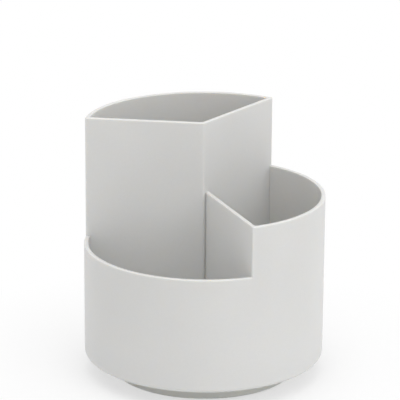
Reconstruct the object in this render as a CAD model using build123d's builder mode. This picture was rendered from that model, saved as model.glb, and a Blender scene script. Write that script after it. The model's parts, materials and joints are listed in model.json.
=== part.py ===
from build123d import *
from math import cos, radians, sin, sqrt, tan
import os

# Rotating pen holder: a moulded cup with three compartments that turns on a low round base.
# Millimetres, +Z up. The origin is on the table, on the turning axis.
# Angles in plan run anticlockwise from +X, and -Y is the front.
os.makedirs("parts", exist_ok=True)

# Cup
cup_radius = 58.0
wall = 2.0                 # outer wall and partitions
skirt_wall = 3.0           # outer wall below the floor
floor_thickness = 2.2
low_rim = 64.7             # the lowest rim's height above the table
mid_step = 24.5            # from the low rim up to the middle one
tall_step = 34.8           # from the middle rim up to the tall one
corner_x = -0.9            # where the tall compartment's two partitions meet
corner_y = 0.0
left_angle = 172.2         # directions of the three partitions, outwards
right_angle = 55.0
divider_angle = -68.1
divider_start = 3.0        # from the partitions' corner, along the right partition
corner_round = 1.5         # upright outer corner where they meet
end_round = 0.8            # upright outer corners where they end
pocket_round = 0.8         # upright corners inside the compartments
floor_round = 0.6
rim_round = 0.4
bottom_round = 2.2
edge_land = 0.2            # least flat left beside a round

# Base
base_setback = 13.6        # from the cup's outside in to the base's
base_height = 7.4
base_wall = 2.0
base_deck = 2.5
base_round = 0.5
rib_width = 1.2            # of the ribs and gussets in the mouldings
rib_count = 8
cover_thickness = 1.6
cover_ledge = 1.0
cup_gap = 0.7              # between the base's deck and the cup's lower edge

# Feet
foot_proud = 0.6           # how far they stand out below the base
foot_seat = 0.8            # how deep they sit in the cover
foot_radius = 6.0
foot_inset = 2.2           # from the cover's edge
foot_round = 0.3
foot_angles = {"right": 0, "back": 90, "left": 180, "front": 270}

# Ball bearing
race_inset = 8.4           # from the base's outside in to the circle of the balls
ball_radius = 2.0
ball_count = 24
race_width = 5.0
race_thickness = 1.5
race_seat = 1.0
groove_room = 0.2          # the groove's radius beyond a ball's
groove_depth = 0.6
cage_wall = 1.2            # between a ball pocket and the cage's edge

# Pivot, from the screw's thread outwards
thread_radius = 2.0
shoulder_step = 0.5
head_lip = 2.0             # the head beyond the shoulder
head_height = 1.8
socket_flats = 3.0
socket_depth = 1.1
bush_wall = 1.5
flange_lip = 1.5           # the bush's flange beyond the screw's head
flange_thickness = 0.8
hub_wall = 2.3             # round the flange
plate_hub_drop = 0.7       # the swivel plate's hub below the plate
washer_thickness = 0.5
slip_washer_thickness = 0.3
slip_washer_width = 2.3
lock_washer_thickness = 0.9
lock_washer_width = 1.6
lock_washer_split = 0.8
lock_washer_slant = 20.0
nut_flats = 7.0
nut_height = 3.2
nut_chamfer = 0.35
thread_tip = 0.6           # the pivot screw beyond its nut
tip_chamfer = 0.3          # at the ends of all screws

# Swivel plate and the screws that hold it under the cup
plate_thickness = 2.6
plate_chamfer = 0.4
plate_screw_inset = 6.1    # from the plate's edge
plate_screw_count = 4
plate_screw_radius = 1.3
pan_radius = 2.5
pan_height = 1.6
pan_round = 0.7
boss_wall = 1.9            # round a screw in the mouldings
boss_skin = 0.8            # between a plate screw and the cup's floor

# Screws that hold the base's cover
cover_screw_circle = 24.0
cover_screw_count = 4
cover_screw_radius = 1.1
sunk_radius = 2.0
sunk_angle = 90.0

# Tapping screws' places and cross recess
screw_angle = 45.0         # of the first screw of each circle, from +X
recess_width = 0.6
recess_depth = 0.8
recess_reach = 1.2         # of each arm, from the screw's axis

# Clearances
running = 0.05             # turning fits, on the radius
press = 0.02               # pressed and screwed fits, on the radius
loose = 0.2                # seats, washers and screw ends
race_gap = 0.06            # between a ball and the bottom of a groove
cage_gap = 0.55            # between the cage and each race
end_play = 0.1             # of the pivot
hub_gap = 0.5              # between the two hubs
head_room = 0.5            # between the pivot screw and the base's cover
plate_gap = 0.4            # between the swivel plate's edge and the cup
tip_room = 0.7             # between the pivot screw and the cup's floor

# Levels, from the table up
base_bottom = foot_proud
base_top = base_bottom + base_height
cover_top = base_bottom + cover_thickness
deck_bottom = base_top - base_deck
rib_bottom = cover_top + loose
cup_bottom = base_top + cup_gap
head_bottom = cover_top + head_room
head_top = head_bottom + head_height
flange_bottom = head_top + washer_thickness + end_play
hub_ceiling = flange_bottom + flange_thickness
lower_race_top = base_top - race_seat + race_thickness
ball_level = lower_race_top - groove_depth + race_gap + ball_radius
upper_race_bottom = 2 * ball_level - lower_race_top
plate_bottom = upper_race_bottom + race_thickness - race_seat
plate_top = plate_bottom + plate_thickness
plate_hub_bottom = plate_bottom - plate_hub_drop
hub_top = plate_hub_bottom - hub_gap
nut_bottom = plate_top + lock_washer_thickness
nut_top = nut_bottom + nut_height
screw_top = nut_top + thread_tip
floor_bottom = screw_top + tip_room
floor_top = floor_bottom + floor_thickness
mid_rim = low_rim + mid_step
tall_rim = mid_rim + tall_step

# Radii that follow
base_radius = cup_radius - base_setback
cover_seat_radius = base_radius - base_wall
cover_radius = cover_seat_radius - loose
hollow_radius = cover_seat_radius - cover_ledge
foot_circle = cover_radius - foot_inset - foot_radius
skirt_radius = cup_radius - skirt_wall
plate_radius = skirt_radius - plate_gap
plate_screw_circle = plate_radius - plate_screw_inset
ball_circle = base_radius - race_inset
groove_radius = ball_radius + groove_room
pocket_radius = ball_radius + 2 * running
cage_half_width = pocket_radius + cage_wall
shoulder_radius = thread_radius + shoulder_step
head_radius = shoulder_radius + head_lip
bush_bore_radius = shoulder_radius + running
bush_radius = bush_bore_radius + bush_wall
flange_radius = head_radius + flange_lip
hub_pocket_radius = flange_radius + loose
hub_radius = hub_pocket_radius + hub_wall


def direction(angle):
    """Unit vector in plan at an angle from +X."""
    return Vector(cos(radians(angle)), sin(radians(angle)))


def face_point(foot, angle, side):
    """Point on a face of the partition from foot: side is 1 for its left face, -1 for its right."""
    return foot + direction(angle + 90) * (side * wall / 2)


def crossing(p, p_angle, q, q_angle):
    """Where the line through p meets the line through q."""
    along_p, along_q, step = direction(p_angle), direction(q_angle), q - p
    turn = along_p.X * along_q.Y - along_p.Y * along_q.X
    return p + along_p * ((step.X * along_q.Y - step.Y * along_q.X) / turn)


def sector(radius, *inner, start, end):
    """Sketches a disc's part between two directions, about its one or two inner corners."""
    reach = 3 * radius
    first, last = inner[0], inner[-1]
    far = [first + direction(start) * reach,
           direction((start + end) / 2) * reach,
           last + direction(end) * reach]
    Circle(radius)
    Polygon(first, *far, *inner[1:], align=None, mode=Mode.INTERSECT)


def mouth(part, core, level):
    """Edges of a compartment's mouth: those at its rim's level, on the upright sides of its core."""
    sides = [face for face in core.faces() if abs(face.normal_at().Z) < 0.01]
    at_level = [edge for edge in part.edges() if abs((edge @ 0.5).Z - level) < 0.001]
    return [edge for edge in at_level if min(side.distance_to(edge @ 0.5) for side in sides) < 0.001]


def ring(inner, outer, bottom, top, mode=Mode.ADD):
    """Sketches a ring's section on the XZ plane."""
    with Locations(((inner + outer) / 2, (bottom + top) / 2)):
        Rectangle(outer - inner, top - bottom, mode=mode)


def outermost(part):
    """The two outermost round edges of a turned part."""
    return part.edges().filter_by(GeomType.CIRCLE).sort_by(SortBy.RADIUS)[-2:]


def cross():
    """Sketches the cross recess of a screw."""
    Rectangle(2 * recess_reach, recess_width)
    Rectangle(recess_width, 2 * recess_reach)


def finish(part, name):
    """Labels a piece and writes its file."""
    part.label = name
    export_step(part, f"parts/{name}.step")


# Where the partitions' faces cross in plan
corner = Vector(corner_x, corner_y)
divider_foot = corner + direction(right_angle) * divider_start
left_front = face_point(corner, left_angle, 1)
left_back = face_point(corner, left_angle, -1)
right_front = face_point(corner, right_angle, -1)
right_back = face_point(corner, right_angle, 1)
divider_low = face_point(divider_foot, divider_angle, -1)
divider_mid = face_point(divider_foot, divider_angle, 1)
front_corner = crossing(left_front, left_angle, right_front, right_angle)
tall_corner = crossing(left_back, left_angle, right_back, right_angle)
mid_corner = crossing(right_front, right_angle, divider_mid, divider_angle)
low_corner = crossing(right_front, right_angle, divider_low, divider_angle)
divider_root = crossing(corner, right_angle, divider_low, divider_angle)
rim_edge = min(rim_round, (wall - edge_land) / 2)

# Outside of the cup up to each rim
with BuildPart() as low_form:
    with BuildSketch(Plane.XY.offset(cup_bottom)):
        Circle(cup_radius)
    extrude(amount=low_rim - cup_bottom)
    fillet(low_form.edges().group_by(Axis.Z)[-1], rim_edge)
    fillet(low_form.edges().group_by(Axis.Z)[0], min(bottom_round, skirt_wall - edge_land))

with BuildPart() as mid_form:
    with BuildSketch(Plane.XY.offset(floor_top)) as plan:
        # on its far side this form ends inside the tall one, past the right partition
        sector(cup_radius, divider_root, start=divider_angle, end=(right_angle + left_angle) / 2)
        fillet(plan.vertices().sort_by(Axis.Y)[0], end_round)
    extrude(amount=mid_rim - floor_top)
    fillet(mid_form.edges().group_by(Axis.Z)[-1], rim_edge)

with BuildPart() as tall_form:
    with BuildSketch(Plane.XY.offset(floor_top)) as plan:
        sector(cup_radius, front_corner, start=right_angle, end=left_angle)
        fillet(plan.vertices().sort_by_distance(front_corner)[1:], end_round)
        fillet(plan.vertices().sort_by_distance(front_corner)[0], corner_round)
    extrude(amount=tall_rim - floor_top)
    fillet(tall_form.edges().group_by(Axis.Z)[-1], rim_edge)

# Inside of each compartment, from the floor up past the tall rim
core_height = tall_rim + wall - floor_top

with BuildPart() as low_core:
    with BuildSketch(Plane.XY.offset(floor_top)) as plan:
        sector(cup_radius - wall, front_corner, low_corner, start=left_angle, end=divider_angle + 360)
        fillet(plan.vertices().sort_by_distance(front_corner)[0], corner_round)
    extrude(amount=core_height)
    fillet(low_core.edges().group_by(Axis.Z)[0], floor_round)

with BuildPart() as mid_core:
    with BuildSketch(Plane.XY.offset(floor_top)) as plan:
        sector(cup_radius - wall, mid_corner, start=divider_angle, end=right_angle)
        fillet(plan.vertices().sort_by(Axis.Y)[0], pocket_round)
    extrude(amount=core_height)
    fillet(mid_core.edges().group_by(Axis.Z)[0], floor_round)

with BuildPart() as tall_core:
    with BuildSketch(Plane.XY.offset(floor_top)) as plan:
        sector(cup_radius - wall, tall_corner, start=right_angle, end=left_angle)
        fillet(plan.vertices(), pocket_round)
    extrude(amount=core_height)
    fillet(tall_core.edges().group_by(Axis.Z)[0], floor_round)

# Cup: one moulding, with screw bosses under its floor
with BuildPart() as cup:
    for form in (low_form, mid_form, tall_form):
        add(form.part)
    for core in (low_core, mid_core, tall_core):
        add(core.part, mode=Mode.SUBTRACT)
    for core, rim in ((tall_core, tall_rim), (mid_core, mid_rim), (low_core, low_rim)):
        fillet(mouth(cup, core, rim), rim_edge)
    with BuildSketch(Plane.XY.offset(cup_bottom)):
        Circle(skirt_radius)
    extrude(amount=floor_bottom - cup_bottom, mode=Mode.SUBTRACT)
    with BuildSketch(Plane.XY.offset(plate_top)):
        with PolarLocations(plate_screw_circle, plate_screw_count, start_angle=screw_angle):
            Circle(plate_screw_radius + boss_wall)
    extrude(amount=floor_bottom - plate_top)
    with BuildSketch(Plane.XY.offset(plate_top + loose)):
        gusset_middle = (plate_screw_circle + cup_radius) / 2
        with PolarLocations(gusset_middle, plate_screw_count, start_angle=screw_angle):
            Rectangle(cup_radius - plate_screw_circle - wall, rib_width)
    extrude(amount=floor_bottom - plate_top - loose)
    with BuildSketch(Plane.XY.offset(plate_top)):
        with PolarLocations(plate_screw_circle, plate_screw_count, start_angle=screw_angle):
            Circle(plate_screw_radius + press)
    extrude(amount=floor_bottom - plate_top - boss_skin + loose, mode=Mode.SUBTRACT)
finish(cup.part, "cup")

# Swivel plate: closes the cup's underside and carries the upper race
with BuildPart() as swivel_plate:
    with BuildSketch(Plane.XZ):
        ring(0, plate_radius, plate_bottom, plate_top)
        ring(0, hub_radius, plate_hub_bottom, plate_top)
        ring(ball_circle - race_width / 2 - press, ball_circle + race_width / 2 + press,
             plate_bottom, plate_bottom + race_seat, Mode.SUBTRACT)
        ring(0, thread_radius + running, plate_hub_bottom, plate_top, Mode.SUBTRACT)
    revolve(axis=Axis.Z)
    chamfer(outermost(swivel_plate), plate_chamfer)
    with BuildSketch(Plane.XY.offset(plate_bottom)):
        with PolarLocations(plate_screw_circle, plate_screw_count, start_angle=screw_angle):
            Circle(plate_screw_radius + loose)
    extrude(amount=plate_thickness, mode=Mode.SUBTRACT)
finish(swivel_plate.part, "swivel_plate")

# Pan-head tapping screws that hold the swivel plate
with BuildPart() as pan_screw:
    with BuildSketch(Plane.XY.offset(plate_bottom - pan_height)):
        Circle(pan_radius)
    extrude(amount=pan_height)
    fillet(pan_screw.edges().group_by(Axis.Z)[0], pan_round)
    with BuildSketch(Plane.XY.offset(plate_bottom)):
        Circle(plate_screw_radius)
    extrude(amount=floor_bottom - boss_skin - plate_bottom)
    chamfer(pan_screw.edges().group_by(Axis.Z)[-1], tip_chamfer)
    with BuildSketch(Plane.XY.offset(plate_bottom - pan_height)):
        cross()
    extrude(amount=recess_depth, mode=Mode.SUBTRACT)

with BuildPart() as swivel_plate_screws:
    with PolarLocations(plate_screw_circle, plate_screw_count, start_angle=screw_angle):
        add(pan_screw.part)
finish(swivel_plate_screws.part, "swivel_plate_screws")

# Races: the same grooved steel ring, once in the swivel plate and once in the base's deck
with BuildPart() as upper_race:
    with BuildSketch(Plane.XZ):
        ring(ball_circle - race_width / 2, ball_circle + race_width / 2,
             upper_race_bottom, upper_race_bottom + race_thickness)
        with Locations((ball_circle, upper_race_bottom + groove_depth - groove_radius)):
            Circle(groove_radius, mode=Mode.SUBTRACT)
    revolve(axis=Axis.Z)
finish(upper_race.part, "upper_race")

with BuildPart() as lower_race:
    with BuildSketch(Plane.XZ):
        ring(ball_circle - race_width / 2, ball_circle + race_width / 2,
             lower_race_top - race_thickness, lower_race_top)
        with Locations((ball_circle, lower_race_top - groove_depth + groove_radius)):
            Circle(groove_radius, mode=Mode.SUBTRACT)
    revolve(axis=Axis.Z)
finish(lower_race.part, "lower_race")

# Balls, and the cage that spaces them
with BuildPart(Plane.XY.offset(ball_level)) as bearing_balls:
    with PolarLocations(ball_circle, ball_count):
        Sphere(ball_radius)
finish(bearing_balls.part, "bearing_balls")

with BuildPart() as ball_cage:
    with BuildSketch(Plane.XY.offset(lower_race_top + cage_gap)):
        Circle(ball_circle + cage_half_width)
        Circle(ball_circle - cage_half_width, mode=Mode.SUBTRACT)
        with PolarLocations(ball_circle, ball_count):
            Circle(pocket_radius, mode=Mode.SUBTRACT)
    extrude(amount=upper_race_bottom - lower_race_top - 2 * cage_gap)
finish(ball_cage.part, "ball_cage")

# Base shell: wall, deck and hub in one moulding, open below
with BuildPart() as base_shell:
    with BuildSketch(Plane.XZ):
        ring(0, base_radius, base_bottom, base_top)
        ring(0, cover_seat_radius, base_bottom, cover_top, Mode.SUBTRACT)
        ring(0, hollow_radius, cover_top, deck_bottom, Mode.SUBTRACT)
        ring(0, hub_radius, rib_bottom, hub_top)
        ring(0, hub_pocket_radius, rib_bottom, hub_ceiling, Mode.SUBTRACT)
        ring(0, bush_radius + press, hub_ceiling, hub_top, Mode.SUBTRACT)
        ring(ball_circle - race_width / 2 - press, ball_circle + race_width / 2 + press,
             base_top - race_seat, base_top, Mode.SUBTRACT)
    revolve(axis=Axis.Z)
    fillet(outermost(base_shell), min(base_round, (base_wall - edge_land) / 2))
    with BuildSketch(Plane.XY.offset(rib_bottom)):
        with PolarLocations((hub_radius + hollow_radius) / 2, rib_count):
            Rectangle(hollow_radius - hub_radius + cover_ledge, rib_width)
    extrude(amount=deck_bottom - rib_bottom)
    with BuildSketch(Plane.XY.offset(cover_top)):
        with PolarLocations(cover_screw_circle, cover_screw_count, start_angle=screw_angle):
            Circle(cover_screw_radius + boss_wall)
    extrude(amount=deck_bottom - cover_top)
    with BuildSketch(Plane.XY.offset(cover_top)):
        with PolarLocations(cover_screw_circle, cover_screw_count, start_angle=screw_angle):
            Circle(cover_screw_radius + press)
    extrude(amount=deck_bottom - cover_top + loose, mode=Mode.SUBTRACT)
finish(base_shell.part, "base_shell")

# Base cover: closes the base's underside and holds the feet
with BuildPart() as base_cover:
    with BuildSketch(Plane.XY.offset(base_bottom)):
        Circle(cover_radius)
    extrude(amount=cover_thickness)
    with BuildSketch(Plane.XY.offset(base_bottom)):
        for angle in foot_angles.values():
            with Locations(direction(angle) * foot_circle):
                Circle(foot_radius + press)
    extrude(amount=foot_seat, mode=Mode.SUBTRACT)
    with Locations(Plane(origin=(0, 0, base_bottom), z_dir=(0, 0, -1))):
        with PolarLocations(cover_screw_circle, cover_screw_count, start_angle=screw_angle):
            CounterSinkHole(cover_screw_radius + press, sunk_radius + press, cover_thickness, sunk_angle)
finish(base_cover.part, "base_cover")

# Countersunk tapping screws that hold the base cover
sunk_depth = (sunk_radius - cover_screw_radius) / tan(radians(sunk_angle / 2))
with BuildPart() as sunk_screw:
    with BuildSketch(Plane.XY.offset(base_bottom)):
        Circle(sunk_radius)
    extrude(amount=sunk_depth, taper=sunk_angle / 2)
    with BuildSketch(Plane.XY.offset(base_bottom)):
        Circle(cover_screw_radius)
    extrude(amount=deck_bottom - base_bottom)
    chamfer(sunk_screw.edges().group_by(Axis.Z)[-1], tip_chamfer)
    with BuildSketch(Plane.XY.offset(base_bottom)):
        cross()
    extrude(amount=recess_depth, mode=Mode.SUBTRACT)

with BuildPart() as base_cover_screws:
    with PolarLocations(cover_screw_circle, cover_screw_count, start_angle=screw_angle):
        add(sunk_screw.part)
finish(base_cover_screws.part, "base_cover_screws")

# Feet
for side, angle in foot_angles.items():
    with BuildPart() as foot:
        with BuildSketch(Plane(origin=direction(angle) * foot_circle)):
            Circle(foot_radius)
        extrude(amount=foot_proud + foot_seat)
        fillet(foot.edges().group_by(Axis.Z)[0], min(foot_round, foot_proud))
    finish(foot.part, f"foot_{side}")

# Pivot bush, pressed into the base's hub from below
with BuildPart() as pivot_bush:
    with BuildSketch(Plane.XZ):
        ring(bush_bore_radius, flange_radius, flange_bottom, hub_ceiling)
        ring(bush_bore_radius, bush_radius, hub_ceiling, hub_top)
    revolve(axis=Axis.Z)
finish(pivot_bush.part, "pivot_bush")

# Slip washer on the base's hub
with BuildPart() as upper_washer:
    with BuildSketch(Plane.XY.offset(hub_top)):
        Circle(shoulder_radius + loose + slip_washer_width)
        Circle(shoulder_radius + loose, mode=Mode.SUBTRACT)
    extrude(amount=slip_washer_thickness)
finish(upper_washer.part, "upper_washer")

# Thrust washer on the pivot screw's head
with BuildPart() as lower_washer:
    with BuildSketch(Plane.XY.offset(head_top)):
        Circle(head_radius)
        Circle(shoulder_radius + running, mode=Mode.SUBTRACT)
    extrude(amount=washer_thickness)
finish(lower_washer.part, "lower_washer")

# Pivot screw: its shoulder runs in the bush and stops against the swivel plate's hub
with BuildPart() as pivot_screw:
    with BuildSketch(Plane.XZ):
        ring(0, head_radius, head_bottom, head_top)
        ring(0, shoulder_radius, head_top, plate_hub_bottom)
        ring(0, thread_radius, plate_hub_bottom, screw_top)
    revolve(axis=Axis.Z)
    chamfer(pivot_screw.edges().group_by(Axis.Z)[-1], tip_chamfer)
    chamfer(pivot_screw.edges().group_by(Axis.Z)[0], tip_chamfer)
    with BuildSketch(Plane.XY.offset(head_bottom)):
        RegularPolygon(socket_flats / 2, 6, major_radius=False)
    extrude(amount=socket_depth, mode=Mode.SUBTRACT)
finish(pivot_screw.part, "pivot_screw")

# Lock washer: a ring with one slanted split
with BuildPart() as lock_washer:
    with BuildSketch(Plane.XY.offset(plate_top)):
        Circle(thread_radius + loose + lock_washer_width)
        Circle(thread_radius + loose, mode=Mode.SUBTRACT)
        with Locations((0, thread_radius + loose + lock_washer_width / 2)):
            Rectangle(lock_washer_split, 2 * lock_washer_width, rotation=lock_washer_slant,
                      mode=Mode.SUBTRACT)
    extrude(amount=lock_washer_thickness)
finish(lock_washer.part, "lock_washer")

# Hexagon nut, bevelled at both ends
with BuildPart() as pivot_nut:
    with BuildSketch(Plane.XY.offset(nut_bottom)):
        Circle(nut_flats / sqrt(3))
    extrude(amount=nut_height)
    chamfer(pivot_nut.edges().filter_by(GeomType.CIRCLE), nut_chamfer)
    with BuildSketch(Plane.XY.offset(nut_bottom)):
        RegularPolygon(nut_flats / 2, 6, major_radius=False)
        Circle(thread_radius + press, mode=Mode.SUBTRACT)
    extrude(amount=nut_height, mode=Mode.INTERSECT)
finish(pivot_nut.part, "pivot_nut")
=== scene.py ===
import json
from math import acos, atan2, cos, degrees, pi, radians, sin, sqrt

import bmesh
import bpy
from mathutils import Matrix, Vector


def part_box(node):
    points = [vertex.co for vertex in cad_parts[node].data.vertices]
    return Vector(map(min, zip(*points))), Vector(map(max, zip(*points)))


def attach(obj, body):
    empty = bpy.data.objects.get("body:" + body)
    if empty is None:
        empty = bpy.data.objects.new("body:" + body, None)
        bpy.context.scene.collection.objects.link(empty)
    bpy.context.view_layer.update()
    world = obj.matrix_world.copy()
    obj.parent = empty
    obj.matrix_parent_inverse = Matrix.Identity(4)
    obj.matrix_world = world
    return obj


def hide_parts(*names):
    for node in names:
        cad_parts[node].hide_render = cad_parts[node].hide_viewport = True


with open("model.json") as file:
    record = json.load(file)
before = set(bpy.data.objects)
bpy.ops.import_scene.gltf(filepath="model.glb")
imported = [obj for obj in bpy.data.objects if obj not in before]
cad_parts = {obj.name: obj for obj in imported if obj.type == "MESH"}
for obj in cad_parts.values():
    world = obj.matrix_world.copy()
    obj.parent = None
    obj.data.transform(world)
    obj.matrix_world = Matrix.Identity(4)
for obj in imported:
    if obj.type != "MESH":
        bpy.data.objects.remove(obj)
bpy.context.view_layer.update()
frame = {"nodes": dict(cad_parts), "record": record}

# Rotating pen holder. Plan and section sizes are in millimetres, as a maker would write them,
# and become metres where a mesh is made. Angles in plan run anticlockwise from +X; -Y is the front.
MM = 0.001


def box_mm(node):
    """A CAD node's lowest and highest corner in millimetres."""
    low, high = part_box(node)
    return low / MM, high / MM


# Sizes that the frame gives
cup_low, cup_high = box_mm("cup")
cup_radius = cup_high.x
cup_bottom = cup_low.z
tall_rim = cup_high.z
plate_low, plate_high = box_mm("swivel_plate")
plate_top = plate_high.z
screw_top = box_mm("pivot_screw")[1].z

# Sizes of the cup
wall = 2.0                 # outer wall and partitions
skirt_wall = 3.0           # outer wall below the floor
floor_thickness = 2.2
mid_step = 24.5            # from the low rim up to the middle one
tall_step = 34.8           # from the middle rim up to the tall one
corner_at = Vector((-0.9, 0.0))
left_angle = 172.2         # directions of the three partitions, outwards
right_angle = 55.0
divider_angle = -68.1
divider_start = 3.0        # from the partitions' corner, along the right partition
corner_round = 1.5         # upright outer corner where they meet
end_round = 0.8            # upright outer corners where they end
pocket_round = 0.8         # upright corners inside the compartments
floor_round = 0.6
rim_round = 0.4
bottom_round = 2.2
tip_room = 0.7             # between the pivot screw and the cup's floor
boss_radius = 3.2
pilot_radius = 1.32        # of the holes that the plate's screws cut into
pilot_roof = 0.6           # between such a hole and the cup's floor
gusset_half = 0.6          # half a gusset's thickness
gusset_gap = 0.2           # between the gussets and the swivel plate

# Sizes of the swivel plate and the small pieces
plate_thickness = 2.6
plate_gap = 0.4            # between the plate's edge and the cup
plate_screw_inset = 6.1    # from the plate's edge
plate_screw_count = 4
cover_screw_circle = 24.0
cover_screw_count = 4
screw_angle = 45.0         # of the first screw of each circle, from +X
ball_radius = 2.0
ball_count = 24
foot_circle = 34.0
foot_radius = 6.0
foot_angles = {"right": 0, "back": 90, "left": 180, "front": 270}

# Levels and radii that follow
mid_rim = tall_rim - tall_step
low_rim = mid_rim - mid_step
floor_bottom = screw_top + tip_room
floor_top = floor_bottom + floor_thickness
pilot_top = floor_bottom - pilot_roof
gusset_bottom = plate_top + gusset_gap
plate_flat = plate_top - plate_thickness
inner_radius = cup_radius - wall
skirt_radius = cup_radius - skirt_wall
boss_circle = skirt_radius - plate_gap - plate_screw_inset

# How finely round things are divided
arc_step = 1.5             # degrees of the cup's wall
round_steps = 5            # of a quarter round
bay_steps = 56             # of the skirt, from one gusset to the next
boss_steps = 32
gusset_steps = 2           # across a gusset's thickness


def heading(angle):
    """Unit vector in plan at an angle from +X."""
    return Vector((cos(radians(angle)), sin(radians(angle))))


def angle_of(point):
    return degrees(atan2(point.y, point.x))


def offset_line(foot, angle, shift):
    """The line through foot at an angle, moved to its left: a point on it and its direction."""
    return foot + heading(angle + 90) * shift, heading(angle)


def meet(line, other):
    """Where two lines cross."""
    (p, d), (q, e) = line, other
    step = q - p
    return p + d * ((step.x * e.y - step.y * e.x) / (d.x * e.y - d.y * e.x))


def meet_circle(line, radius):
    """Where a line leaves the circle about the cup's axis."""
    p, d = line
    along = p.dot(d)
    return p + d * (sqrt(along * along - p.dot(p) + radius * radius) - along)


def arc(centre, radius, angles):
    return [centre + heading(angle) * radius for angle in angles]


def evenly(start, end, count):
    return [start + (end - start) * i / count for i in range(count + 1)]


def at(points, height):
    """Plan points lifted to a height, or to a list of heights."""
    heights = height if isinstance(height, list) else [height] * len(points)
    return [(p.x, p.y, z) for p, z in zip(points, heights)]


class Skin:
    """Faces of one closed piece, given by their corners in millimetres."""

    def __init__(self):
        self.corners = []
        self.faces = []
        self.known = {}

    def corner(self, point):
        key = tuple(round(value, 4) for value in point)
        if key not in self.known:
            self.known[key] = len(self.corners)
            self.corners.append([value * MM for value in point])
        return self.known[key]

    def face(self, points):
        ring = []
        for point in points:
            index = self.corner(point)
            if index not in ring[-1:] + ring[:1]:
                ring.append(index)
        if len(ring) > 2:
            self.faces.append(ring)

    def strip(self, rows, closed=False):
        """Four-sided faces between rows that have as many points each."""
        for low, high in zip(rows, rows[1:]):
            for i in range(len(low) if closed else len(low) - 1):
                j = (i + 1) % len(low)
                self.face([low[i], low[j], high[j], high[i]])

    def raw(self, name):
        """An object with the faces as they are."""
        mesh = bpy.data.meshes.new(name)
        mesh.from_pydata(self.corners, [], self.faces)
        return placed(mesh, name)

    def make(self, name, sharp=35):
        """The finished piece."""
        return shade(self.raw(name), sharp, turn_out=True)


def placed(mesh, name):
    piece = bpy.data.objects.new(name, mesh)
    bpy.context.scene.collection.objects.link(piece)
    return piece


def shade(piece, sharp, turn_out=False, weld=2e-6):
    """Welds a piece and makes it smooth but for its sharp edges, with normals led by larger faces."""
    mesh = piece.data
    work = bmesh.new()
    work.from_mesh(mesh)
    bmesh.ops.remove_doubles(work, verts=work.verts, dist=weld)
    if turn_out:
        bmesh.ops.recalc_face_normals(work, faces=work.faces)
    open_edges = sum(1 for edge in work.edges if len(edge.link_faces) != 2)
    if open_edges:
        print(f"{piece.name}: {open_edges} edges without two faces")
    work.to_mesh(mesh)
    work.free()
    mesh.polygons.foreach_set("use_smooth", [True] * len(mesh.polygons))
    mesh.set_sharp_from_angle(angle=radians(sharp))
    shading = piece.modifiers.new("Flats", "WEIGHTED_NORMAL")
    shading.keep_sharp = True
    return bake_down(piece)


def bake_down(piece):
    """Turns a piece with modifiers into a plain mesh."""
    graph = bpy.context.evaluated_depsgraph_get()
    mesh = bpy.data.meshes.new_from_object(piece.evaluated_get(graph))
    mesh.name = piece.name
    piece.modifiers.clear()
    piece.data = mesh
    return piece


# Plan of the cup: partition faces, and the centres of its upright rounds
half = wall / 2
divider_at = corner_at + heading(right_angle) * divider_start


def left_line(shift):
    return offset_line(corner_at, left_angle, shift)


def right_line(shift):
    return offset_line(corner_at, right_angle, shift)


def divider_line(shift):
    return offset_line(divider_at, divider_angle, shift)


# A rim's outer round: how far each row is in from the wall's side, and its height in the round
quarter = evenly(0, 90, round_steps)
rim_rows = [(rim_round * (1 - cos(radians(a))), rim_round * sin(radians(a))) for a in quarter]


class WallEnd:
    """The upright round where a partition's face runs out into the cup's outside."""

    def __init__(self, line, side, normal, pocket_side):
        self.line = line
        self.side = side
        self.centre = meet_circle(line(side * (half - end_round)), cup_radius - end_round)
        self.tangent = self.turned_to(normal, angle_of(self.centre))
        self.turn = 1 if normal > self.tangent else -1
        self.face_foot = self.centre + heading(normal) * end_round
        self.foot_radius = self.face_foot.length
        # the round's steps from the cup's outside to the face, one for each row of a rim that ends here
        self.angles = [self.angle_at(cup_radius - inset) for inset, rise in rim_rows] + [normal]
        self.pocket_centre = meet_circle(line(pocket_side), inner_radius - pocket_round)
        pocket_tangent = self.turned_to(normal, angle_of(self.pocket_centre))
        span = (normal - pocket_tangent) / (normal - self.tangent)
        self.pocket_angles = [pocket_tangent + (angle - self.tangent) * span for angle in self.angles]
        self.pocket_tangent = pocket_tangent

    @staticmethod
    def turned_to(normal, angle):
        """The same angle, given within half a turn of the normal."""
        return angle + 360 * round((normal - angle) / 360)

    def angle_at(self, radius):
        """Angle about the round's centre of its point at a distance from the cup's axis."""
        reach = self.centre.length
        share = (radius ** 2 - reach ** 2 - end_round ** 2) / (2 * end_round * reach)
        return self.tangent + self.turn * degrees(acos(max(-1.0, min(1.0, share))))

    def point_at(self, radius):
        """The wall's outline, round or face, at a distance from the cup's axis."""
        if radius > self.foot_radius:
            return self.centre + heading(self.angle_at(radius)) * end_round
        return meet_circle(self.line(self.side * half), radius)


left_normal = left_angle + 90
right_normal = right_angle - 90
divider_normal = divider_angle - 90
left_end = WallEnd(left_line, 1, left_normal, -(half + pocket_round))
right_end = WallEnd(right_line, -1, right_normal, half + pocket_round)
divider_end = WallEnd(divider_line, -1, divider_normal, half + pocket_round)
front_angles = evenly(left_normal, right_normal + 360, round_steps)
front_centre = meet(left_line(half - corner_round), right_line(corner_round - half))
tall_centre = meet(left_line(-half - pocket_round), right_line(half + pocket_round))


tall_steps = round((left_end.tangent - right_end.tangent) / arc_step)
mid_steps = round((right_end.tangent - divider_end.tangent) / arc_step)
low_steps = round((divider_end.tangent + 360 - left_end.tangent) / arc_step)


def wall_arc(first, last, steps, radius):
    """Points of a circle about the cup's axis, from one angle to another."""
    return arc(Vector((0, 0)), radius, evenly(first, last, steps))


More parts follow.
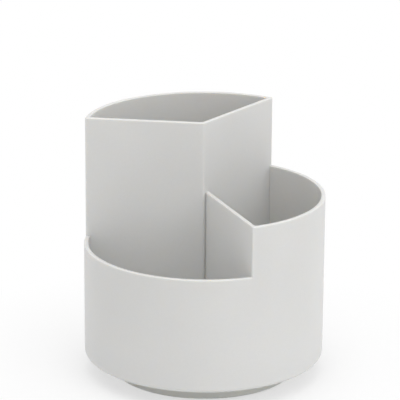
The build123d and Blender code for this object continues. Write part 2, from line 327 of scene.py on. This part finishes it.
def tall_outer(inset):
    """Outline of the tall form, from its front corner anticlockwise, drawn in by inset."""
    around = wall_arc(right_end.tangent, left_end.tangent, tall_steps, cup_radius - inset)
    return (arc(front_centre, corner_round - inset, front_angles)
            + arc(right_end.centre, end_round - inset, right_end.angles[::-1])
            + around[1:-1]
            + arc(left_end.centre, end_round - inset, left_end.angles))


def tall_inner(grow):
    """Outline of the tall pocket with as many points, let out by grow."""
    around = wall_arc(right_end.pocket_tangent, left_end.pocket_tangent, tall_steps, inner_radius + grow)
    return (arc(tall_centre, pocket_round + grow, front_angles)
            + arc(right_end.pocket_centre, pocket_round + grow, right_end.pocket_angles[::-1])
            + around[1:-1]
            + arc(left_end.pocket_centre, pocket_round + grow, left_end.pocket_angles))


def mid_outer(inset):
    """The middle form's edge, out along the divider, round its end and on to the tall form."""
    radius = cup_radius - inset
    end = right_end.point_at(radius)
    around = wall_arc(divider_end.tangent, angle_of(end), mid_steps, radius)
    return ([meet(right_line(-half), divider_line(inset - half))]
            + arc(divider_end.centre, end_round - inset, divider_end.angles[::-1])
            + around[1:-1] + [end])


def mid_inner(grow, back=0.0):
    """The middle pocket's edge with as many points; back moves its side on the right partition."""
    radius = inner_radius + grow
    end = meet_circle(right_line(-half - back), radius)
    around = wall_arc(divider_end.pocket_tangent, angle_of(end), mid_steps, radius)
    return ([meet(right_line(-half - back), divider_line(half - grow))]
            + arc(divider_end.pocket_centre, pocket_round + grow, divider_end.pocket_angles[::-1])
            + around[1:-1] + [end])


def low_between(start, end):
    """A row of the low rim between its ends, on the tall form's left end and on the divider's."""
    turns = evenly(angle_of(start), angle_of(end) + 360, low_steps)
    radii = evenly(start.length, end.length, low_steps)
    return [start] + [heading(turn) * radius for turn, radius in zip(turns, radii)][1:-1] + [end]


def low_row(radius):
    return low_between(left_end.point_at(radius), divider_end.point_at(radius))


def low_pocket(inset):
    """Outline of the low pocket, drawn in by inset, in the order of the low rim's rows."""
    radius = inner_radius - inset
    start = meet_circle(left_line(half + inset), radius)
    end = meet_circle(divider_line(-half - inset), radius)
    around = wall_arc(angle_of(start), angle_of(end) + 360, low_steps, radius)
    return ([start] + around[1:-1] + [end, meet(right_line(-half - inset), divider_line(-half - inset))]
            + arc(front_centre, corner_round + inset, front_angles[::-1]))


def floor_of(skin, outline):
    """The round at a pocket's foot, and its floor. outline gives the pocket drawn in."""
    rows = []
    for angle in quarter:
        inset = floor_round * (1 - cos(radians(angle)))
        rows.append(at(outline(inset), floor_top + floor_round - floor_round * sin(radians(angle))))
    skin.strip(rows, closed=True)
    skin.face(rows[-1])


def cup_skin():
    skin = Skin()
    low_edge, mid_edge, tall_edge = (level - rim_round for level in (low_rim, mid_rim, tall_rim))
    foot = floor_top + floor_round

    # outside of the wall, in three bands below the three rims
    low_out = low_row(cup_radius)
    mid_out = mid_outer(0.0)[len(divider_end.angles):]
    around = wall_arc(right_end.tangent, left_end.tangent, tall_steps, cup_radius)
    tall_out = [mid_out[-1]] + around[1:-1] + [low_out[0]]
    loop = low_out[:-1] + mid_out[:-1] + tall_out[:-1]
    skin.strip([at(loop, cup_bottom + bottom_round), at(loop, low_edge)], closed=True)
    skin.strip([at(mid_out + tall_out[1:], low_edge), at(mid_out + tall_out[1:], mid_edge)])
    skin.strip([at(tall_out, mid_edge), at(tall_out, tall_edge)])

    # tall rim and pocket
    rows = [at(tall_outer(inset), tall_edge + rise) for inset, rise in rim_rows]
    rows += [at(tall_inner(inset), tall_edge + rise) for inset, rise in rim_rows[::-1]]
    skin.strip(rows, closed=True)
    skin.strip([at(tall_inner(0.0), foot), rows[-1]], closed=True)
    floor_of(skin, lambda inset: tall_inner(-inset))

    # middle rim and pocket
    rows = [at(mid_outer(inset), mid_edge + rise) for inset, rise in rim_rows]
    between = [(p + q) / 2 for p, q in zip(mid_outer(rim_round), mid_inner(rim_round))]
    rows.append(at(between[:-1] + [right_end.face_foot], mid_rim))
    rows += [at(mid_inner(inset), mid_edge + rise) for inset, rise in rim_rows[::-1]]
    skin.strip(rows)
    mid_rows = rows
    skin.strip([at(mid_inner(0.0), foot), rows[-1]])
    floor_of(skin, lambda inset: mid_inner(-inset, back=inset))

    # low rim and pocket
    rows = [at(low_row(cup_radius - inset), low_edge + rise) for inset, rise in rim_rows]
    rows.append(at(low_between(left_end.face_foot, divider_end.face_foot), low_rim))
    rows += [at(low_row(inner_radius + inset), low_edge + rise) for inset, rise in rim_rows[::-1]]
    skin.strip(rows)
    low_rows = rows
    skin.strip([at(low_row(inner_radius), foot), rows[-1]])
    floor_of(skin, low_pocket)

    # upright rounds: the front corner, and the partitions' ends on top of the lower rims
    front = arc(front_centre, corner_round, front_angles)
    skin.strip([at(front, foot), at(front, tall_edge)])
    ends = ((left_end, [row[0] for row in low_rows], tall_edge),
            (right_end, [row[-1] for row in mid_rows], tall_edge),
            (divider_end, [row[-1] for row in low_rows], mid_edge))
    for end, feet, top in ends:
        feet = feet[:len(end.angles)]
        for i, (low, high) in enumerate(zip(feet, feet[1:])):
            joint = [(low[0], low[1], mid_edge)] if end is left_end and i == 0 else []
            skin.face([low, high, (high[0], high[1], top), (low[0], low[1], top)] + joint)

    # flat faces of the partitions, each round its own outline
    on_face = len(rim_rows)
    first, last = front[0], front[-1]
    side = [row[0] for row in low_rows[on_face:]]
    skin.face([(first.x, first.y, foot), side[-1][:2] + (foot,)] + side[::-1]
              + [side[0][:2] + (tall_edge,), (first.x, first.y, tall_edge)])
    root = [row[0] for row in mid_rows]
    side = [row[-1] for row in mid_rows[on_face:]]
    skin.face([(last.x, last.y, foot), root[0][:2] + (foot,)] + root + [root[-1][:2] + (foot,)]
              + [side[-1][:2] + (foot,)] + side[::-1]
              + [side[0][:2] + (tall_edge,), (last.x, last.y, tall_edge)])
    side = [row[-1] for row in low_rows[on_face:]]
    skin.face([root[0][:2] + (foot,), side[-1][:2] + (foot,)] + side[::-1]
              + [side[0][:2] + (mid_edge,), root[0]])

    underside(skin, loop)
    return skin


def underside(skin, loop):
    """The cup's lower edge, skirt, bosses and gussets, below its floor."""
    rows = []
    for angle in evenly(0, 90, 2 * round_steps):
        radius = cup_radius - bottom_round * (1 - cos(radians(angle)))
        height = cup_bottom + bottom_round * (1 - sin(radians(angle)))
        rows.append(at([p * (radius / cup_radius) for p in loop], height))
    skin.strip(rows, closed=True)

    # the skirt's inside, in bays between the gussets
    root_half = degrees(gusset_half / skirt_radius)
    boss_half = degrees(atan2(gusset_half, sqrt(boss_radius ** 2 - gusset_half ** 2)))
    ceiling, lip = [], []
    boss_angles = evenly(screw_angle, screw_angle + 360, plate_screw_count)
    for here, there in zip(boss_angles, boss_angles[1:]):
        bay = arc(Vector((0, 0)), skirt_radius, evenly(here + root_half, there - root_half, bay_steps))
        across = evenly(there - root_half, there + root_half, gusset_steps)
        root = arc(Vector((0, 0)), skirt_radius, across)
        centre = heading(there) * boss_circle
        neck = arc(centre, boss_radius, evenly(there + boss_half, there - boss_half, gusset_steps))
        boss = arc(centre, boss_radius, evenly(there - boss_half, there + boss_half - 360, boss_steps))
        skin.strip([at(bay, cup_bottom), at(bay, gusset_bottom), at(bay, floor_bottom)])
        skin.strip([at(root, cup_bottom), at(root, gusset_bottom)])
        for p, q in ((root[0], boss[0]), (boss[-1], root[-1])):
            skin.strip([at([p, q], gusset_bottom), at([p, q], floor_bottom)])
        skin.strip([at(boss, gusset_bottom), at(boss, floor_bottom)])
        skin.face(at(root + neck, gusset_bottom))
        around = boss[:-1] + neck[:-1]
        skin.strip([at(around, plate_top), at(around, gusset_bottom)], closed=True)
        hole = arc(centre, pilot_radius, [angle_of(p - centre) for p in around])
        skin.strip([at(around, plate_top), at(hole, plate_top), at(hole, pilot_top)], closed=True)
        skin.face(at(hole, pilot_top))
        ceiling += bay + boss
        lip += bay[:-1] + root[:-1]
    skin.face(at(ceiling, floor_bottom))

    # the lower edge's flat, in two halves
    outer = sorted(rows[-1], key=lambda p: atan2(p[1], p[0]))
    inner = sorted(at(lip, cup_bottom), key=lambda p: atan2(p[1], p[0]))
    cut_outer, cut_inner = len(outer) // 2, len(inner) // 2
    skin.face(outer[:cut_outer + 1] + inner[:cut_inner + 1][::-1])
    skin.face(outer[cut_outer:] + outer[:1] + inner[:1] + inner[cut_inner:][::-1])


# Materials
class Recipe:
    """A material in the making: its nodes, its shader and its points in space."""

    def __init__(self, name, **shader):
        self.material = bpy.data.materials.new(name)
        self.material.use_nodes = True
        self.tree = self.material.node_tree
        self.shader = self.tree.nodes["Principled BSDF"]
        for socket, value in shader.items():
            self.shader.inputs[socket.replace("_", " ")].default_value = value
        self.place = self.tree.nodes.new("ShaderNodeTexCoord").outputs["Object"]

    def node(self, kind, given, **properties):
        """A node's first output. given holds values or outputs for its sockets, by name or place."""
        made = self.tree.nodes.new(kind)
        for name, value in properties.items():
            setattr(made, name, value)
        for socket, value in given.items():
            self.feed(made.inputs[socket], value)
        return made.outputs[0]

    def feed(self, socket, value):
        if isinstance(value, bpy.types.NodeSocket):
            self.tree.links.new(value, socket)
        else:
            socket.default_value = value

    def noise(self, scale, detail=2.0, roughness=0.5):
        return self.node("ShaderNodeTexNoise", {"Vector": self.place, "Scale": scale, "Detail": detail,
                                                "Roughness": roughness})

    def span(self, value, low, high, start=0.0, end=1.0):
        """value from low..high carried over to start..end."""
        return self.node("ShaderNodeMapRange", {"Value": value, "From Min": low, "From Max": high,
                                                "To Min": start, "To Max": end}, clamp=True)

    def math(self, operation, first, second=0.0, third=0.0):
        return self.node("ShaderNodeMath", {0: first, 1: second, 2: third}, operation=operation)

    def blend(self, share, first, second):
        """A colour between two, by a share from 0 to 1."""
        made = self.tree.nodes.new("ShaderNodeMix")
        made.data_type = "RGBA"
        for socket, given in (("Factor_Float", share), ("A_Color", first), ("B_Color", second)):
            found = next(s for s in made.inputs if s.identifier == socket)
            self.feed(found, given)
        return next(s for s in made.outputs if s.identifier == "Result_Color")

    def bump(self, height, strength, distance, under=None):
        given = {"Height": height, "Strength": strength, "Distance": distance}
        if under is not None:
            given["Normal"] = under
        return self.node("ShaderNodeBump", given)

    def use(self, **outputs):
        for name, value in outputs.items():
            self.feed(self.shader.inputs[name.replace("_", " ")], value)
        return self.material


def tint(red, green, blue):
    return (red, green, blue, 1.0)


def moulded_plastic(name, light, dark, gloss, grain=0.14, light_depth=0.002):
    """Fine satin plastic: cloudy tone, a faint spark grain, uneven gloss, and light in its thin rims."""
    recipe = Recipe(name, Metallic=0.0, Subsurface_Weight=0.8, Subsurface_Scale=light_depth,
                    Subsurface_Radius=(1.0, 0.9, 0.75))
    cloud = recipe.span(recipe.noise(14.0, 3.0), 0.3, 0.7)
    speck = recipe.span(recipe.noise(900.0, 2.0), 0.35, 0.65)
    share = recipe.math("MULTIPLY_ADD", speck, 0.2, recipe.math("MULTIPLY", cloud, 0.8))
    tone = recipe.blend(share, dark, light)
    rough = recipe.span(recipe.noise(45.0, 4.0, 0.6), 0.3, 0.7, gloss - 0.04, gloss + 0.05)
    fine = recipe.bump(recipe.noise(2600.0, 2.0, 0.6), grain, 0.00006)
    waves = recipe.bump(recipe.noise(22.0, 2.0), 0.05, 0.0004, fine)
    return recipe.use(Base_Color=tone, Roughness=rough, Normal=waves)


def rubber(name):
    """Matte black rubber with a little pale dust in its grain."""
    recipe = Recipe(name, Metallic=0.0)
    dust = recipe.span(recipe.noise(260.0, 4.0, 0.65), 0.5, 0.8)
    tone = recipe.blend(dust, tint(0.035, 0.035, 0.036), tint(0.085, 0.083, 0.08))
    rough = recipe.span(recipe.noise(400.0, 3.0), 0.3, 0.7, 0.7, 0.85)
    grain = recipe.bump(recipe.noise(1800.0, 3.0, 0.6), 0.25, 0.0001)
    return recipe.use(Base_Color=tone, Roughness=rough, Normal=grain)


def metal(name, light, dark, gloss):
    """Bright metal with a slightly cloudy tone and a fine grain."""
    recipe = Recipe(name, Metallic=1.0)
    cloud = recipe.span(recipe.noise(350.0, 4.0, 0.6), 0.35, 0.65)
    tone = recipe.blend(cloud, dark, light)
    rough = recipe.span(recipe.noise(700.0, 3.0), 0.3, 0.7, gloss - 0.06, gloss + 0.08)
    grain = recipe.bump(recipe.noise(1500.0, 2.0), 0.08, 0.00004)
    return recipe.use(Base_Color=tone, Roughness=rough, Normal=grain)


plastics = {
    "cup_plastic": (tint(0.71, 0.71, 0.70), tint(0.67, 0.67, 0.66), 0.44),
    # painted light: the base is the cup's plastic painted paler, to make up for the shade under the
    # cup's overhang
    "base_plastic": (tint(0.765, 0.765, 0.725), tint(0.725, 0.725, 0.685), 0.44),
    "inner_plastic": (tint(0.57, 0.57, 0.565), tint(0.52, 0.52, 0.515), 0.5),
    "cage_plastic": (tint(0.80, 0.78, 0.72), tint(0.75, 0.73, 0.67), 0.4),
    "slip_plastic": (tint(0.83, 0.83, 0.81), tint(0.79, 0.79, 0.77), 0.35),
}
metals = {
    "bearing_steel": (tint(0.66, 0.66, 0.66), tint(0.56, 0.56, 0.56), 0.18),
    "plated_steel": (tint(0.66, 0.66, 0.64), tint(0.55, 0.56, 0.56), 0.34),
    "bush_bronze": (tint(0.55, 0.36, 0.18), tint(0.42, 0.27, 0.13), 0.45),
}
materials = {name: moulded_plastic(name, *finish) for name, finish in plastics.items()}
materials.update({name: metal(name, *finish) for name, finish in metals.items()})
materials["foot_rubber"] = rubber("foot_rubber")
slot_of = {part["node"]: part["material_slot"] for part in frame["record"]["subparts"]}
bodies = frame["record"]["behaviour"]["bodies"]
body_of = {node: body for body, nodes in bodies.items() for node in nodes}


def install(piece, node):
    """Gives a piece the finish and the body of the CAD node that it stands for."""
    piece.data.materials.clear()
    piece.data.materials.append(materials[slot_of[node]])
    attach(piece, body_of[node])
    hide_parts(node)
    return piece


def refined(node):
    """A welded copy of a CAD node's mesh, smooth along its rounds and crisp at its edges."""
    return install(shade(placed(frame["nodes"][node].data.copy(), f"{node}_finished"), 30), node)


def ring_tree():
    """Node tree that sets turned copies of a piece evenly on a circle about the turning axis."""
    tree = bpy.data.node_groups.new("ring_of_pieces", "GeometryNodeTree")
    for name, kind in (("Piece", "Geometry"), ("Count", "Int"), ("Circle radius", "Float"),
                       ("First angle", "Float"), ("Finish", "Material")):
        tree.interface.new_socket(name, in_out="INPUT", socket_type=f"NodeSocket{kind}")
    tree.interface.new_socket("Pieces", in_out="OUTPUT", socket_type="NodeSocketGeometry")

    def node(kind, *values, **properties):
        made = tree.nodes.new(kind)
        for name, value in properties.items():
            setattr(made, name, value)
        for socket, value in zip(made.inputs, values):
            if isinstance(value, bpy.types.NodeSocket):
                tree.links.new(value, socket)
            elif value is not None:
                socket.default_value = value
        return made.outputs[0] if made.outputs else made

    given = tree.nodes.new("NodeGroupInput").outputs
    share = node("ShaderNodeMath", node("GeometryNodeInputIndex"), given["Count"], operation="DIVIDE")
    angle = node("ShaderNodeMath", share, 2 * pi, given["First angle"], operation="MULTIPLY_ADD")
    across = node("ShaderNodeMath", node("ShaderNodeMath", angle, operation="COSINE"),
                  given["Circle radius"], operation="MULTIPLY")
    along = node("ShaderNodeMath", node("ShaderNodeMath", angle, operation="SINE"),
                 given["Circle radius"], operation="MULTIPLY")
    points = node("GeometryNodePoints", given["Count"], node("ShaderNodeCombineXYZ", across, along))
    turn = node("FunctionNodeEulerToRotation", node("ShaderNodeCombineXYZ", None, None, angle))
    copies = tree.nodes.new("GeometryNodeInstanceOnPoints")
    tree.links.new(points, copies.inputs["Points"])
    tree.links.new(given["Piece"], copies.inputs["Instance"])
    tree.links.new(turn, copies.inputs["Rotation"])
    solid = node("GeometryNodeRealizeInstances", copies.outputs[0])
    finished = tree.nodes.new("GeometryNodeSetMaterial")
    tree.links.new(solid, finished.inputs["Geometry"])
    tree.links.new(given["Finish"], finished.inputs["Material"])
    node("NodeGroupOutput", finished.outputs[0])
    return tree


ring_of_pieces = ring_tree()
ring_inputs = {item.name: item.identifier for item in ring_of_pieces.interface.items_tree
               if item.in_out == "INPUT"}


def ringed(skin, node, count, circle, first_angle=0.0, sharp=35):
    """Copies of the piece whose skin stands on the axis, round a circle, in place of a CAD node."""
    piece = skin.raw(f"{node}_finished")
    modifier = piece.modifiers.new("Ring", "NODES")
    modifier.node_group = ring_of_pieces
    for name, value in (("Count", count), ("Circle radius", circle * MM),
                        ("First angle", radians(first_angle)), ("Finish", materials[slot_of[node]])):
        modifier[ring_inputs[name]] = value
    bake_down(piece)
    return install(shade(piece, sharp, turn_out=True), node)


def rounds(radius, height, steps):
    """A level ring of points about the axis; the radius is a number, or worked out from an angle."""
    angles = evenly(0, 360, steps)[:-1]
    reach = radius if callable(radius) else lambda angle: radius
    return at([heading(angle) * reach(angle) for angle in angles], height)


def thread(bottom, top, crest, depth, pitch, steps):
    """Rows of a screw thread that rises anticlockwise and runs out at both ends."""
    rows = []
    for height in evenly(bottom, top, round((top - bottom) / pitch * 8)):
        fade = max(0.0, min(1.0, (height - bottom) / pitch, (top - height) / pitch))

        def reach(angle, height=height, fade=fade):
            turn = (height / pitch - angle / 360) % 1.0
            return crest - depth * fade * (1 - abs(2 * turn - 1))

        rows.append(rounds(reach, height, steps))
    return rows


def cross_recess(skin, rim, height, steps, depth=0.8, reach=1.2, width=0.6, taper=0.7):
    """The flat face of a screw's head, out to rim, with the tapered cross that takes the driver."""
    corner = [Vector((reach, 0)), Vector((reach, width / 2)), Vector((width / 2, width / 2)),
              Vector((width / 2, reach))]
    turns = [Matrix.Rotation(quarter_turn * pi / 2, 2) for quarter_turn in range(4)]
    outline = [turn @ point for turn in turns for point in corner]
    edge = rounds(rim, height, steps)
    share = steps // 4
    for quarter_turn in range(4):
        around = (edge + edge[:1])[quarter_turn * share:(quarter_turn + 1) * share + 1]
        inner = (outline + outline[:1])[quarter_turn * 4:quarter_turn * 4 + 5]
        skin.face(around + at(inner, height)[::-1])
    bottom = at([point * taper for point in outline], height + depth)
    skin.strip([at(outline, height), bottom], closed=True)
    skin.face(bottom)


def pan_screw(steps=32):
    """Tapping screw with a domed head, which points up into the cup's boss."""
    low, high = box_mm("swivel_plate_screws")
    head, shank, dome, chamfer = 2.5, 1.3, 0.7, 0.3
    neck, thread_depth, pitch = 0.4, 0.3, 1.0
    skin = Skin()
    cross_recess(skin, head - dome, low.z, steps)
    rows = [rounds(head - dome + dome * sin(radians(a)), low.z + dome * (1 - cos(radians(a))), steps)
            for a in quarter]
    rows += [rounds(head, plate_flat, steps), rounds(shank, plate_flat, steps)]
    rows += thread(plate_flat + neck, high.z - chamfer, shank, thread_depth, pitch, steps)
    rows.append(rounds(shank - chamfer, high.z, steps))
    skin.strip(rows, closed=True)
    skin.face(rows[-1])
    return skin


def sunk_screw(steps=32):
    """Countersunk tapping screw, flush with the base's cover."""
    low, high = box_mm("base_cover_screws")
    head, shank, chamfer = 2.0, 1.1, 0.3
    neck, thread_depth, pitch = 0.2, 0.25, 0.8
    head_top = low.z + head - shank
    skin = Skin()
    cross_recess(skin, head, low.z, steps)
    rows = [rounds(head, low.z, steps), rounds(shank, head_top, steps)]
    rows += thread(head_top + neck, high.z - chamfer, shank, thread_depth, pitch, steps)
    rows.append(rounds(shank - chamfer, high.z, steps))
    skin.strip(rows, closed=True)
    skin.face(rows[-1])
    return skin


def pivot_screw(steps=48):
    """Shoulder screw with a hexagon socket in its head and a thread for the nut."""
    low, high = box_mm("pivot_screw")
    head, head_height, shoulder, crest, chamfer = 4.5, 1.8, 2.5, 2.0, 0.3
    socket, socket_depth = 1.5, 1.1
    neck, thread_depth, pitch = 0.3, 0.35, 0.7
    head_top = low.z + head_height
    skin = Skin()
    key = [heading(angle) * socket / cos(radians((angle + 30) % 60 - 30))
           for angle in evenly(0, 360, steps)[:-1]]
    rows = [at(key, low.z + socket_depth), at(key, low.z)]
    rows += [rounds(radius, height, steps) for radius, height in (
        (head - chamfer, low.z), (head, low.z + chamfer), (head, head_top), (shoulder, head_top),
        (shoulder, plate_low.z), (crest, plate_low.z))]
    rows += thread(plate_low.z + neck, high.z - chamfer, crest, thread_depth, pitch, steps)
    rows.append(rounds(crest - chamfer, high.z, steps))
    skin.strip(rows, closed=True)
    skin.face(rows[0])
    skin.face(rows[-1])
    return skin


def ball(height, steps=24):
    """A bearing ball at its height, pole up."""
    skin = Skin()
    rows = [rounds(ball_radius * cos(radians(a)), height + ball_radius * sin(radians(a)), steps)
            for a in evenly(-90, 90, steps // 2)]
    skin.strip(rows, closed=True)
    return skin


def rubber_foot(top, steps=64):
    """Rubber foot: its sole has two shallow rings for grip and a rounded edge."""
    edge, groove, groove_width = 0.3, 0.2, 0.5
    skin = Skin()
    profile = []
    for ring_at in (0.3 * foot_radius, 0.6 * foot_radius):
        profile += [(ring_at - groove_width, 0.0), (ring_at - groove_width / 2, groove),
                    (ring_at + groove_width / 2, groove), (ring_at + groove_width, 0.0)]
    profile += [(foot_radius - edge + edge * sin(radians(a)), edge * (1 - cos(radians(a))))
                for a in quarter]
    profile.append((foot_radius, top))
    rows = [rounds(reach, height, steps) for reach, height in profile]
    skin.strip(rows, closed=True)
    skin.face(rows[0])
    skin.face(rows[-1])
    return skin


# The pieces: the cup, the small repeated ones, and the rest refined from their solids
ball_low, ball_high = box_mm("bearing_balls")
install(cup_skin().make("cup_moulding"), "cup")
ringed(pan_screw(), "swivel_plate_screws", plate_screw_count, boss_circle, screw_angle)
ringed(sunk_screw(), "base_cover_screws", cover_screw_count, cover_screw_circle, screw_angle)
ringed(ball((ball_low.z + ball_high.z) / 2), "bearing_balls", ball_count, ball_high.x - ball_radius)
install(pivot_screw().make("pivot_screw_finished"), "pivot_screw")
for side, angle in foot_angles.items():
    ringed(rubber_foot(box_mm(f"foot_{side}")[1].z), f"foot_{side}", 1, foot_circle, angle)
made = {"cup", "swivel_plate_screws", "base_cover_screws", "bearing_balls", "pivot_screw"}
made.update(f"foot_{side}" for side in foot_angles)
for node in sorted(set(frame["nodes"]) - made):
    refined(node)


# Floor, light and camera
def seen_plainly(tree):
    """1 where the camera, gloss or glass sees a surface, 0 for the light that it throws on others."""
    path = tree.nodes.new("ShaderNodeLightPath").outputs
    seen = path["Is Camera Ray"]
    for other in ("Is Glossy Ray", "Is Transmission Ray"):
        either = tree.nodes.new("ShaderNodeMath")
        either.operation = "MAXIMUM"
        tree.links.new(seen, either.inputs[0])
        tree.links.new(path[other], either.inputs[1])
        seen = either.outputs[0]
    return seen


def floor_material(clear=0.05, white=0.15, lift=0.58):
    """Pale floor that keeps a soft shadow near the holder and runs out into plain white."""
    recipe = Recipe("pale_floor", Roughness=0.9)
    nodes, links = recipe.tree.nodes, recipe.tree.links
    recipe.shader.inputs["Base Color"].default_value = tint(0.88, 0.88, 0.88)
    recipe.shader.inputs["Specular IOR Level"].default_value = 0.1
    split = nodes.new("ShaderNodeSeparateXYZ")
    links.new(recipe.place, split.inputs[0])
    x, y = split.outputs[0], split.outputs[1]
    reach = recipe.math("SQRT", recipe.math("MULTIPLY_ADD", x, x, recipe.math("MULTIPLY", y, y)))
    far = recipe.span(reach, clear, white, lift, 1.0)
    share = recipe.math("MULTIPLY", far, seen_plainly(recipe.tree))
    glow = nodes.new("ShaderNodeEmission")
    mix = nodes.new("ShaderNodeMixShader")
    links.new(share, mix.inputs[0])
    links.new(recipe.shader.outputs[0], mix.inputs[1])
    links.new(glow.outputs[0], mix.inputs[2])
    links.new(mix.outputs[0], nodes["Material Output"].inputs["Surface"])
    return recipe.material


def make_floor(half_side=3000.0):
    skin = Skin()
    skin.face([(x * half_side, y * half_side, 0.0) for x, y in ((-1, -1), (1, -1), (1, 1), (-1, 1))])
    floor = skin.raw("floor")
    floor.data.materials.append(floor_material())


def make_world(ambient=0.81):
    """Even pale surroundings, plain white where the camera, gloss or glass sees them."""
    world = bpy.data.worlds.new("studio")
    bpy.context.scene.world = world
    world.use_nodes = True
    nodes, links = world.node_tree.nodes, world.node_tree.links
    nodes["Background"].inputs["Color"].default_value = tint(1.0, 1.0, 1.0)
    nodes["Background"].inputs["Strength"].default_value = ambient
    white = nodes.new("ShaderNodeBackground")
    mix = nodes.new("ShaderNodeMixShader")
    links.new(seen_plainly(world.node_tree), mix.inputs[0])
    links.new(nodes["Background"].outputs[0], mix.inputs[1])
    links.new(white.outputs[0], mix.inputs[2])
    links.new(mix.outputs[0], nodes["World Output"].inputs["Surface"])


def lamp(name, azimuth, elevation, power, size=1.0, distance=1.6, aim=0.06):
    """A round soft lamp turned to the holder; azimuth 0 stands in front of it and 90 on its right."""
    target = Vector((0.0, 0.0, aim))
    across = heading(azimuth - 90) * cos(radians(elevation))
    place = target + Vector((across.x, across.y, sin(radians(elevation)))) * distance
    light = bpy.data.lights.new(name, "AREA")
    light.shape = "DISK"
    light.size = size
    light.energy = power
    holder = bpy.data.objects.new(name, light)
    holder.location = place
    holder.rotation_mode = "QUATERNION"
    holder.rotation_quaternion = (target - place).to_track_quat("-Z", "Y")
    bpy.context.scene.collection.objects.link(holder)


def make_camera():
    """The photograph's view: a long lens from in front and above."""
    distance, height = 1.12153, 0.43707
    pitch, yaw, roll = radians(17.409), radians(-0.112), radians(-0.378)
    focal_pixels, frame_pixels = 2447.0, 400
    camera = bpy.data.cameras.new("camera")
    camera.sensor_width = 36.0
    camera.lens = focal_pixels / frame_pixels * camera.sensor_width
    camera.clip_start = 0.01
    ahead = Vector((cos(pitch) * sin(yaw), cos(pitch) * cos(yaw), -sin(pitch)))
    level = Vector((cos(yaw), -sin(yaw), 0.0))
    above = level.cross(ahead)
    right = level * cos(roll) - above * sin(roll)
    up = level * sin(roll) + above * cos(roll)
    holder = bpy.data.objects.new("camera", camera)
    turned = Matrix((right, up, -ahead)).transposed().to_4x4()
    holder.matrix_world = Matrix.Translation((0.0, -distance, height)) @ turned
    bpy.context.scene.collection.objects.link(holder)
    bpy.context.scene.camera = holder


make_floor()
make_world()
for name, azimuth, elevation, power in (("overhead", 0, 88, 3.8), ("top_front", 0, 60, 2.4),
                                        ("right_front", 45, 35, 3.4), ("right_side", 80, 20, 1.4)):
    lamp(name, azimuth, elevation, power)
make_camera()
bpy.context.scene.view_settings.view_transform = "Standard"
